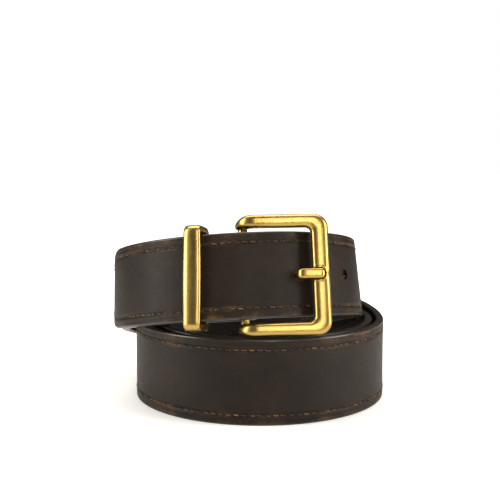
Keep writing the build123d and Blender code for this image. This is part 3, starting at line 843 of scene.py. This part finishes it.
prong = tube("prong_tongue", [prong_section(*ring) for ring in prong_rings], buckle_brass)
eye_profile = []
for k in range(24):
    across, deep = soft_square(2 * pi * k / 24, 4.0)
    eye_profile.append((bar_radius + 0.06 * mm + 0.95 * mm + 0.95 * mm * deep, across * prong_width / 2))
eye_rings = []
for step in range(48):
    turn = 2 * pi * step / 48
    eye_rings.append([in_buckle(radius * cos(turn), height, radius * sin(turn))
                      for radius, height in eye_profile])
prong_eye = tube("prong_eye", eye_rings, buckle_brass, open_loop=False)
for piece in (prong, prong_eye):
    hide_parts("prong")
    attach(piece, "prong")


# ---- Keeper ------------------------------------------------------------------------------------
# A cast brass loop that slides on the strap and holds the tip down. Its front is domed and a little
# wider at mid-height, and its back passes between the strap and the folded end.
keeper_angle, keeper_width = -17.2, 7.2 * mm
keeper_clearance = 0.45 * mm
keeper_inside = second_radius - strap_thickness - keeper_clearance
keeper_outside = top_radius + keeper_clearance
keeper_axis, keeper_out, strap_across = top_turn_frame(keeper_angle, 0)
keeper_middle = keeper_axis + strap_across * (strap_width / 2)
keeper_across = Matrix.Rotation(-keeper_cant, 3, keeper_out) @ strap_across
keeper_along = keeper_across.cross(keeper_out).normalized()
front_wall, back_wall, side_wall = 2.5 * mm, 1.7 * mm, 3.2 * mm
gap_half = strap_width / 2 + 0.75 * mm


def rounded_loop(low, high, half, radius, steps=10, straight=18):
    """A rounded rectangle of (out, across) places, corner by corner, evenly spread in between."""
    corners = ((high - radius, half - radius, 0), (low + radius, half - radius, 1),
               (low + radius, -half + radius, 2), (high - radius, -half + radius, 3))

    def between(start, stop):
        return [(start[0] + (stop[0] - start[0]) * k / straight,
                 start[1] + (stop[1] - start[1]) * k / straight) for k in range(1, straight)]

    places = []
    for x, y, quarter in corners:
        turns = [(quarter + k / steps) * pi / 2 for k in range(steps + 1)]
        arc = [(x + radius * cos(turn), y + radius * sin(turn)) for turn in turns]
        if places:
            places += between(places[-1], arc[0])
        places += arc
    return places + between(places[-1], places[0])


outer_loop = rounded_loop(keeper_inside - back_wall, keeper_outside + front_wall,
                          gap_half + side_wall, 3.0 * mm)
inner_loop = rounded_loop(keeper_inside, keeper_outside, gap_half, 0.6 * mm)
keeper_rings = []
for (out_o, across_o), (out_i, across_i) in zip(outer_loop, inner_loop):
    front, domed = out_o > keeper_outside - 1.0 * mm, out_o > keeper_outside
    bow = (1 + 0.09 * (1 - (across_o / (gap_half + side_wall)) ** 2)) * 0.96 if front else 1.0
    ring = []
    for k in range(36):
        along, wall = soft_square(2 * pi * k / 36, 3.4 if domed else 4.5)
        share = (wall + 1) / 2
        dome = 0.55 * mm * (1 - along ** 2) - 0.35 * mm if domed else 0.0
        spot_out = out_i + (out_o - out_i) * share + dome * share
        spot_across = across_i + (across_o - across_i) * share
        ring.append(keeper_middle + keeper_out * spot_out + keeper_across * spot_across
                    + keeper_along * (along * keeper_width / 2 * bow))
    keeper_rings.append(ring)
keeper = tube("keeper_loop", keeper_rings, keeper_brass, open_loop=False)
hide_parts("keeper")
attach(keeper, "keeper")


# ---- Press stud --------------------------------------------------------------------------------
# A brass press stud closes the folded end. Its cap is riveted through the fold to its socket, and a
# post through the lining and core to the stud that snaps into it.
stud_sag = (8.6 * mm) ** 2 / 8 / (second_radius - strap_thickness) + 0.01 * mm
cap_sag = (10 * mm) ** 2 / 8 / fold_back_radius + 0.02 * mm
folded = face_thickness + lining_thickness
snap_room = second_radius - strap_thickness - stud_sag - fold_back_radius - folded
cap_base = snap_room + folded + cap_sag
profiles = {
    "snap_caps": [(0.9 * mm, snap_room - 0.22 * mm), (1.6 * mm, snap_room - 0.22 * mm),
                  (1.6 * mm, cap_base), (4.4 * mm, cap_base),
                  (4.85 * mm, cap_base + 0.15 * mm), (5.0 * mm, cap_base + 0.4 * mm),
                  (4.8 * mm, cap_base + 0.65 * mm), (4.2 * mm, cap_base + 0.95 * mm),
                  (3.0 * mm, cap_base + 1.18 * mm), (1.5 * mm, cap_base + 1.28 * mm),
                  (0.3 * mm, cap_base + 1.3 * mm)],
    "snap_sockets": [(2.26 * mm, 0.62 * mm), (3.6 * mm, 0.62 * mm),
                     (4.1 * mm, 0.8 * mm), (4.3 * mm, 1.1 * mm),
                     (4.3 * mm, snap_room - 0.4 * mm), (3.9 * mm, snap_room - 0.08 * mm),
                     (1.65 * mm, snap_room - 0.08 * mm), (1.65 * mm, snap_room - 0.3 * mm),
                     (2.26 * mm, snap_room - 0.34 * mm)],
    "snap_studs": [(1.62 * mm, 0.02 * mm), (4.1 * mm, 0.02 * mm),
                   (4.3 * mm, 0.25 * mm), (4.0 * mm, 0.48 * mm),
                   (2.1 * mm, 0.52 * mm), (2.0 * mm, 0.9 * mm), (2.2 * mm, 1.3 * mm),
                   (2.0 * mm, snap_room - 0.5 * mm), (1.3 * mm, snap_room - 0.36 * mm),
                   (0.3 * mm, snap_room - 0.35 * mm)],
    "snap_posts": [(0.3 * mm, -2.0 * mm), (3.2 * mm, -2.0 * mm), (3.5 * mm, -1.85 * mm),
                   (3.4 * mm, -1.5 * mm), (1.6 * mm, -1.5 * mm), (1.6 * mm, 0.3 * mm),
                   (1.3 * mm, 0.5 * mm), (0.3 * mm, 0.5 * mm)],
}
stud_distance = 33.5 * mm               # from the bar, along the strap
point, out, across = top_turn_frame(bar_angle - degrees(stud_distance / second_radius),
                                    second_radius - strap_thickness - stud_sag)
for name, profile in profiles.items():
    rings = [[point + across * (strap_width / 2) - out * height
              + (across * cos(a) + out.cross(across) * sin(a)) * radius
              for a in (2 * pi * k / 40 for k in range(40))] for radius, height in profile]
    piece = tube(f"{name}_1", rings, snap_brass, open_loop=name != "snap_sockets")
    piece.data.set_sharp_from_angle(angle=radians(35))
    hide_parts(name)
    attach(piece, "strap")


# ---- Studio ------------------------------------------------------------------------------------
# A white table and a white surround, lit softly from above and from both sides. The table glows less close
# to the belt, which paints a soft shadow round it.
floor_mesh = bmesh.new()
bmesh.ops.create_grid(floor_mesh, x_segments=8, y_segments=8, size=6.0)
floor_data = bpy.data.meshes.new("floor")
floor_mesh.to_mesh(floor_data)
floor_mesh.free()
floor = bpy.data.objects.new("floor", floor_data)
floor.location.z = -0.00003
bpy.context.scene.collection.objects.link(floor)
floor_paint, shader, add = material("white table with painted shadow")
# painted shadow: the table glows at full strength beyond 11 cm from the belt's middle and dims to 0.3 of it
# inside 6 cm
far = add("VectorMath", {0: add("TexCoord").outputs["Object"]}, operation="LENGTH")
glow_with_painted_shadow = add("MapRange", {"Value": far.outputs["Value"], "From Min": 0.062, "From Max": 0.11,
                        "To Min": 0.30, "To Max": 1.0}, interpolation_type="SMOOTHSTEP")
direct = add("LightPath")
seen_glow_with_painted_shadow = add("Mix", {0: direct.outputs["Is Camera Ray"], 2: 0.04, 3: glow_with_painted_shadow.outputs[0]},
                data_type="FLOAT")
wire(shader, {"Base Color": (0.93, 0.93, 0.93, 1), "Roughness": 0.75, "Specular IOR Level": 0.2,
              "Emission Color": (1, 1, 1, 1), "Emission Strength": seen_glow_with_painted_shadow.outputs[0]})
floor_data.materials.append(floor_paint)

world = bpy.data.worlds.new("surround")
bpy.context.scene.world = world
world.use_nodes = True
tree = world.node_tree
tree.nodes.clear()
add = node_adder(tree)
seen = add("LightPath")
plain = add("Background", {0: (1, 1, 1, 1), 1: 1.0})
lit = add("Background", {0: (1, 0.93, 0.82, 1), 1: 0.055})
mixed = add("MixShader", {0: seen.outputs["Is Camera Ray"], 1: lit.outputs[0],
                          2: plain.outputs[0]})
add("OutputWorld", {0: mixed.outputs[0]})


def softbox(name, place, target, width, height, power):
    light = bpy.data.lights.new(name, "AREA")
    light.shape, light.size, light.size_y, light.energy = "RECTANGLE", width, height, power
    light.color = (1.0, 0.95, 0.87)
    lamp = bpy.data.objects.new(name, light)
    lamp.location = place
    lamp.rotation_euler = (Vector(place) - Vector(target)).to_track_quat("Z", "Y").to_euler()
    bpy.context.scene.collection.objects.link(lamp)


softbox("top softbox", (0, 0.12, 0.75), (0, 0, 0.04), 0.9, 0.5, 6.0)
softbox("left softbox", (-0.75, -0.20, 0.30), (0, 0, 0.05), 0.30, 0.6, 5.0)
softbox("right softbox", (0.75, -0.25, 0.30), (0, 0, 0.05), 0.35, 0.6, 5.5)
softbox("front strip", (0.16, -0.75, 0.40), (0, 0, 0.05), 0.10, 0.5, 1.6)

camera_data = bpy.data.cameras.new("camera")
camera_data.sensor_width, camera_data.lens = 36.0, 869 / 500 * 36.0
camera_data.clip_start, camera_data.clip_end = 0.01, 30
camera = bpy.data.objects.new("camera", camera_data)
camera.location = (0.0008, -0.3954, 0.1061)
camera.rotation_euler = (radians(90 - 5.96), 0, 0)
bpy.context.scene.collection.objects.link(camera)
bpy.context.scene.camera = camera
bpy.context.scene.view_settings.view_transform = "Standard"
